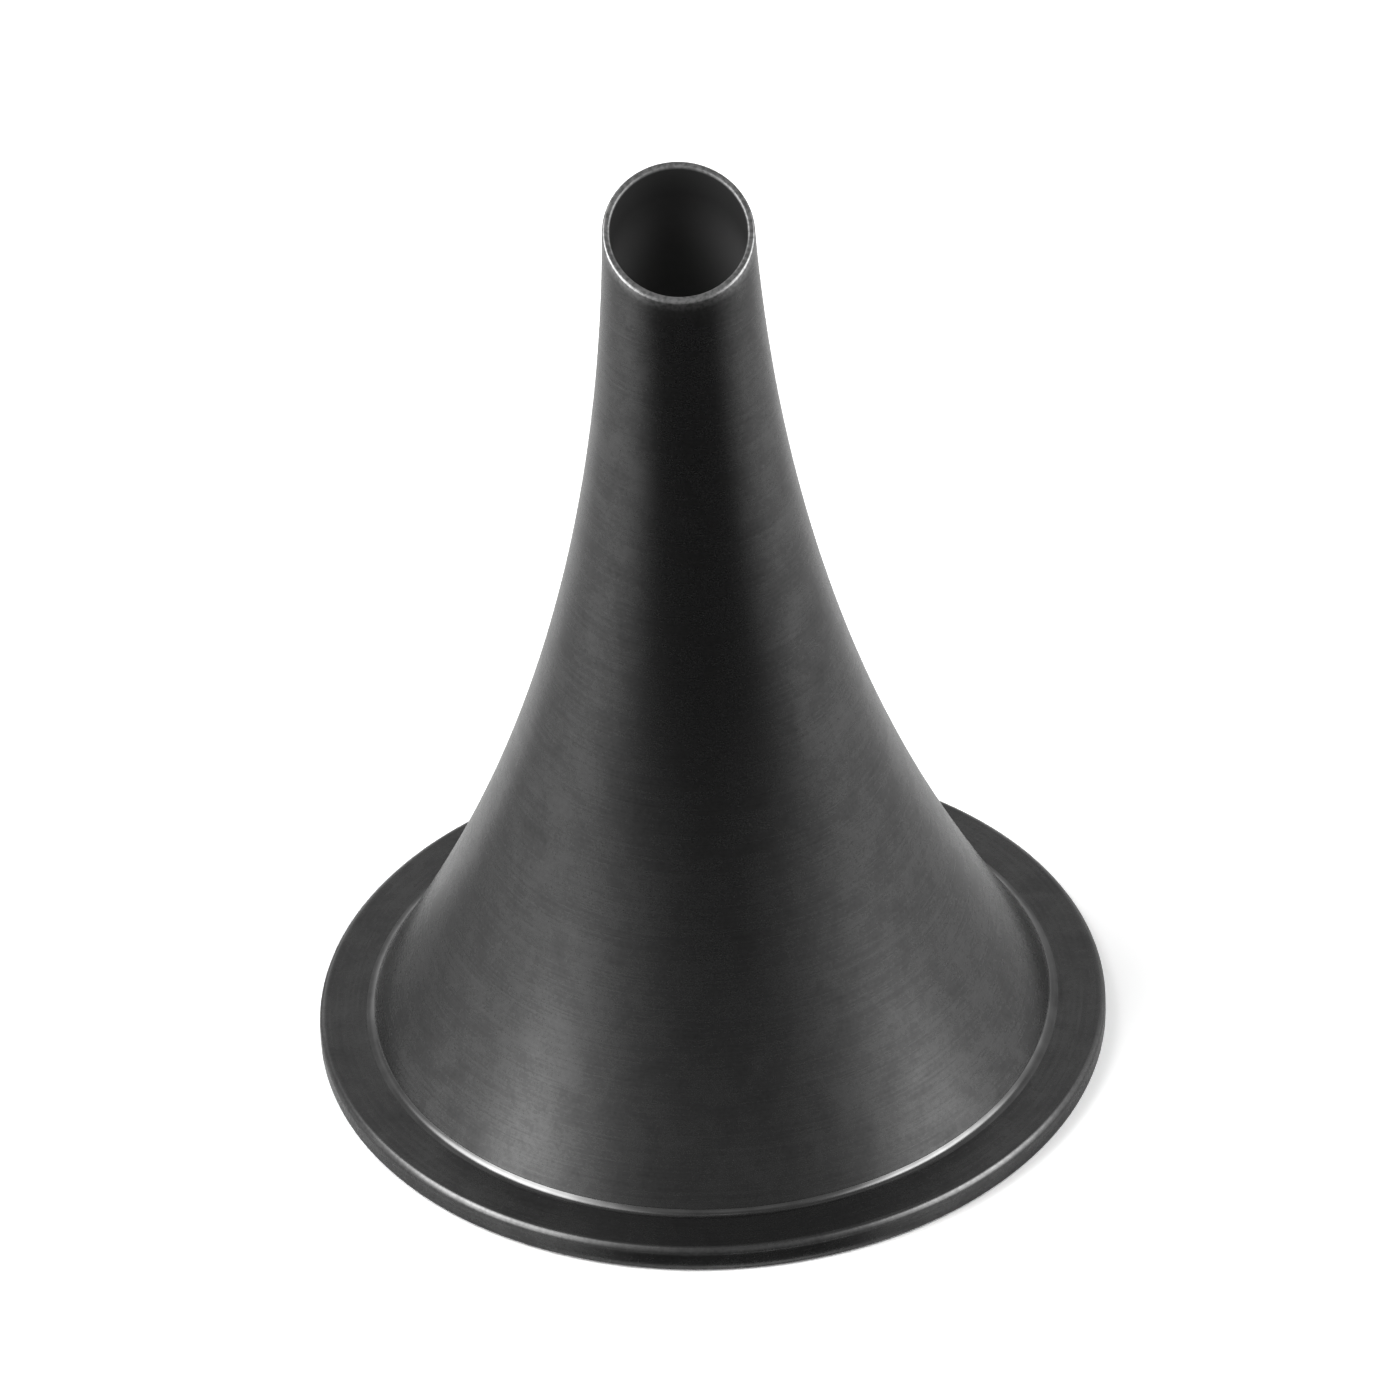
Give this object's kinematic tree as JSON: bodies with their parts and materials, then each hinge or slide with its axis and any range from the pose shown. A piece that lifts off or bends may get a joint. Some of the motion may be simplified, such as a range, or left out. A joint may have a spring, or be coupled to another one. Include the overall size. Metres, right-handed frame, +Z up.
{
  "type": "ear speculum",
  "caption": "Trumpet-shaped ear speculum of thin blackened sheet metal, with a slanted open mouth and a flat round flange whose edge is folded over a wire.",
  "frame": {"origin": "centre of the circle that the rim rests on, at the bottom of the part", "axes": "+Z up the axis of the funnel towards the mouth, +Y towards the high side of the slanted mouth"},
  "size_m": [0.03, 0.03, 0.0374],
  "materials": {
    "blackened_sheet": "satin",
    "steel_wire": "satin",
    "blackened_solder": "satin"
  },
  "bodies": {
    "root": {"funnel": "blackened_sheet", "flange_ring": "blackened_sheet", "rim_wire": "steel_wire", "solder_seam": "blackened_solder"}
  },
  "joints": []
}
